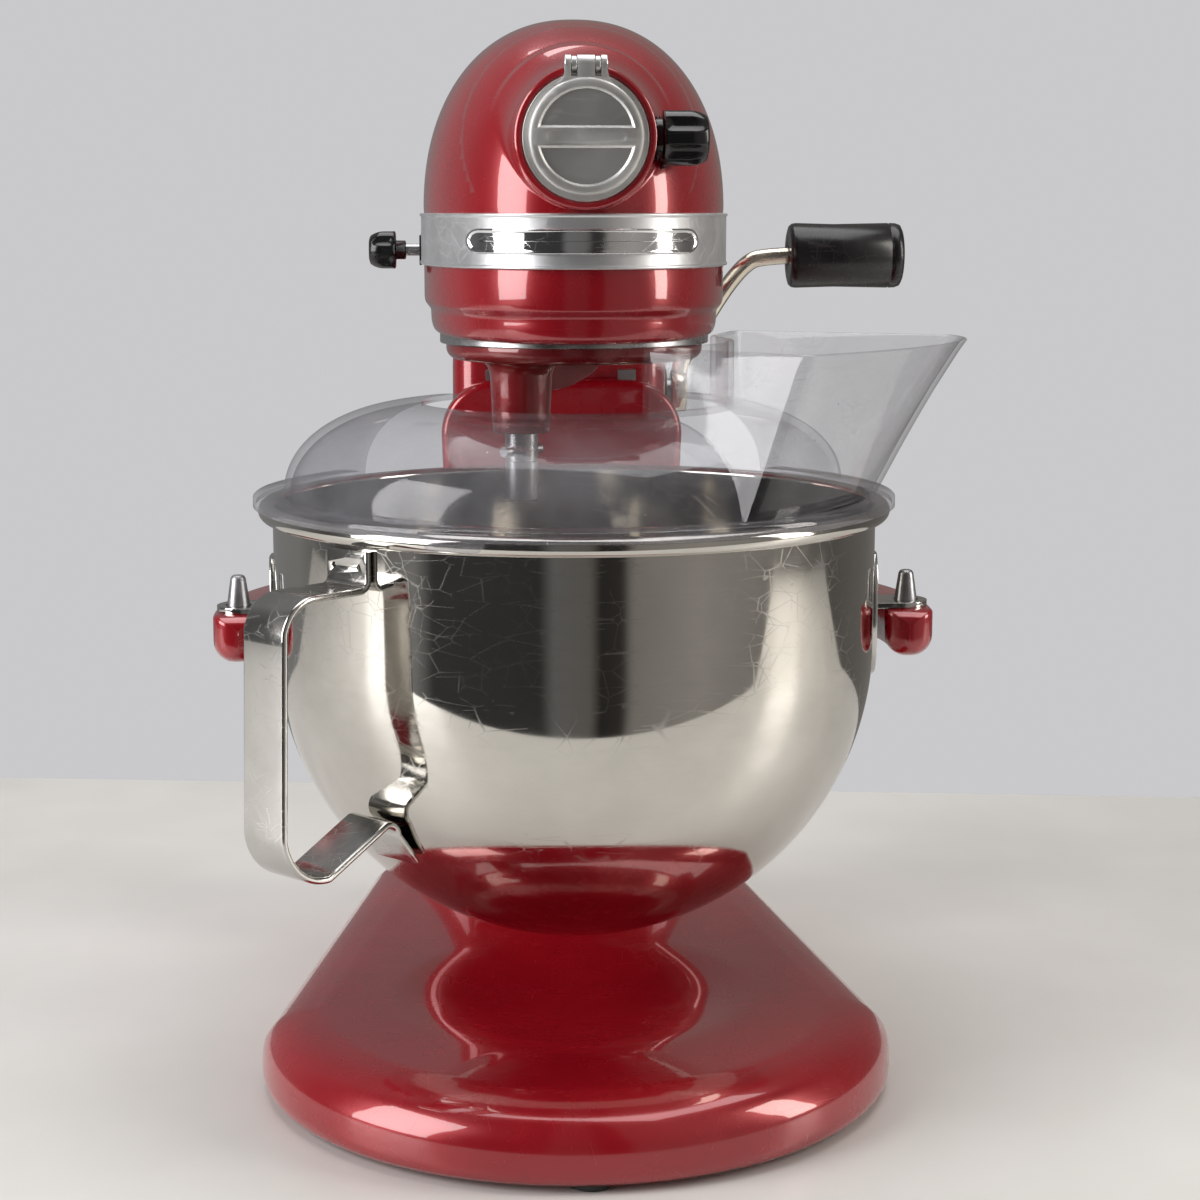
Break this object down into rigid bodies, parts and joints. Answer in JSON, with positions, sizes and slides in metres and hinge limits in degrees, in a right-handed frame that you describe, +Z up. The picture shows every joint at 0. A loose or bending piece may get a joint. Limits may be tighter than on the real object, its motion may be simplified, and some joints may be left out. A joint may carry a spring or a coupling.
{
  "type": "stand mixer",
  "caption": "Bowl-lift stand mixer with a round steel bowl, a clear pouring shield, a planetary drive and a front attachment hub.",
  "frame": {"origin": "on the counter, straight below the axis of the bowl and the planetary", "axes": "+Z up, -Y out of the attachment hub towards the front, +X towards the bowl-lift handle"},
  "size_m": [0.3036, 0.377, 0.419],
  "materials": {
    "red_enamel": "deep gloss enamel over a metal casting",
    "satin_trim": "satin with a bright edge",
    "bright_trim": "polished",
    "cast_trim": "die-cast, satin",
    "plain_steel": "turned and lightly polished",
    "gear_steel": "machined, oily",
    "bowl_steel": "spun and brushed stainless steel",
    "nickel_rod": "warm polished nickel plate",
    "black_plastic": "glossy moulded plastic",
    "dark_plastic": "plain moulded plastic",
    "black_rubber": "matt",
    "clear_plastic": "clear moulded plastic with fine scratches",
    "bronze": "machined",
    "motor_iron": "stacked laminations",
    "carbon": "pressed carbon",
    "board": "laminate"
  },
  "bodies": {
    "stand": {"base": "red_enamel", "rubber_feet": "black_rubber", "column": "red_enamel", "column_bolts": "plain_steel", "guide_rails": "plain_steel", "lift_bush": "dark_plastic", "cord_gland": "black_rubber", "head_lower_housing": "red_enamel", "head_upper_housing": "red_enamel", "rear_cover": "red_enamel", "rear_cover_screw": "plain_steel", "trim_band": "satin_trim", "trim_badge": "bright_trim", "hub_socket": "cast_trim", "hub_hinge_pin": "plain_steel", "speed_slot_plate": "dark_plastic", "ring_gear": "gear_steel", "drip_ring": "bright_trim", "gearbox_plate": "cast_trim", "motor_field": "motor_iron", "motor_brackets": "cast_trim", "brush_holders": "dark_plastic", "carbon_brushes": "carbon", "speed_control_board": "board"},
    "hub_cover": {"hub_cover": "cast_trim"},
    "attachment_knob": {"attachment_screw": "plain_steel", "attachment_knob": "black_plastic"},
    "speed_lever": {"speed_lever": "plain_steel", "speed_knob": "black_plastic"},
    "speed_link": {"speed_link": "plain_steel"},
    "planetary": {"planetary": "red_enamel", "centre_shaft": "plain_steel", "centre_gear": "gear_steel", "crown_gear": "gear_steel"},
    "beater_shaft": {"beater_shaft": "plain_steel", "beater_pinion": "gear_steel", "beater_cross_pin": "plain_steel"},
    "idler": {"idler_shaft": "plain_steel", "idler_pinion": "gear_steel", "worm_gear": "bronze"},
    "motor": {"motor_worm": "gear_steel", "motor_shaft": "plain_steel", "motor_rotor": "motor_iron", "motor_commutator": "bronze", "motor_fan": "dark_plastic"},
    "hub_drive": {"hub_shaft": "plain_steel", "hub_pinion": "gear_steel"},
    "bowl_lift": {"yoke": "red_enamel", "bowl_pins": "plain_steel", "slide_keeper": "plain_steel", "lift_rod": "plain_steel", "lift_spring": "plain_steel", "bowl": "bowl_steel", "bowl_ears": "bowl_steel", "bowl_handle": "bowl_steel"},
    "shield": {"pouring_shield": "clear_plastic", "pouring_chute": "clear_plastic"},
    "lift_handle": {"lift_shaft": "plain_steel", "lift_lever": "nickel_rod", "lift_grip": "black_plastic"}
  },
  "joints": [
    {"name": "bowl_lift", "type": "slide", "parent": "stand", "child": "bowl_lift", "axis": [0, 0, 1], "range_m": [-0.036, 0]},
    {"name": "lift_handle_turn", "type": "hinge", "parent": "stand", "child": "lift_handle", "pos_m": [0.054, 0.184, 0.262], "axis": [1, 0, 0], "range_deg": [0, 105]},
    {"name": "shield_turn", "type": "hinge", "parent": "bowl_lift", "child": "shield", "pos_m": [0, 0, 0.2347], "axis": [0, 0, 1], "range_deg": [-15, 15]},
    {"name": "planetary_spin", "type": "hinge", "parent": "stand", "child": "planetary", "pos_m": [0, 0, 0.3], "axis": [0, 0, 1], "continuous": true},
    {"name": "beater_shaft_spin", "type": "hinge", "parent": "planetary", "child": "beater_shaft", "pos_m": [-0.02121, -0.02121, 0.3], "axis": [0, 0, 1], "continuous": true},
    {"name": "idler_spin", "type": "hinge", "parent": "stand", "child": "idler", "pos_m": [-0.027, 0.03019, 0.32], "axis": [0, 0, 1], "continuous": true},
    {"name": "motor_spin", "type": "hinge", "parent": "stand", "child": "motor", "pos_m": [0, 0.12, 0.337], "axis": [0, 1, 0], "continuous": true},
    {"name": "hub_drive_spin", "type": "hinge", "parent": "stand", "child": "hub_drive", "pos_m": [0, -0.06, 0.371], "axis": [0, -1, 0], "continuous": true},
    {"name": "speed_lever_swing", "type": "hinge", "parent": "stand", "child": "speed_lever", "pos_m": [-0.022, 0.048, 0.33025], "axis": [0, 0, -1], "range_deg": [0, 26]},
    {"name": "speed_link_slide", "type": "slide", "parent": "stand", "child": "speed_link", "axis": [0, 1, 0], "range_m": [0, 0.0088]},
    {"name": "hub_cover_swing", "type": "hinge", "parent": "stand", "child": "hub_cover", "pos_m": [0, -0.0985, 0.3955], "axis": [-1, 0, 0], "range_deg": [0, 105]},
    {"name": "attachment_knob_turn", "type": "hinge", "parent": "stand", "child": "attachment_knob", "pos_m": [0.03, -0.084, 0.371], "axis": [1, 0, 0], "range_deg": [0, 720]}
  ],
  "couplings": [
    {"joint": "lift_handle_turn", "follows": "bowl_lift", "rad_per_m": -50.9},
    {"joint": "beater_shaft_spin", "follows": "planetary_spin", "ratio": -3},
    {"joint": "idler_spin", "follows": "planetary_spin", "ratio": -2},
    {"joint": "motor_spin", "follows": "planetary_spin", "ratio": 48},
    {"joint": "hub_drive_spin", "follows": "planetary_spin", "ratio": 2.1},
    {"joint": "speed_link_slide", "follows": "speed_lever_swing", "m_per_rad": 0.0193}
  ]
}
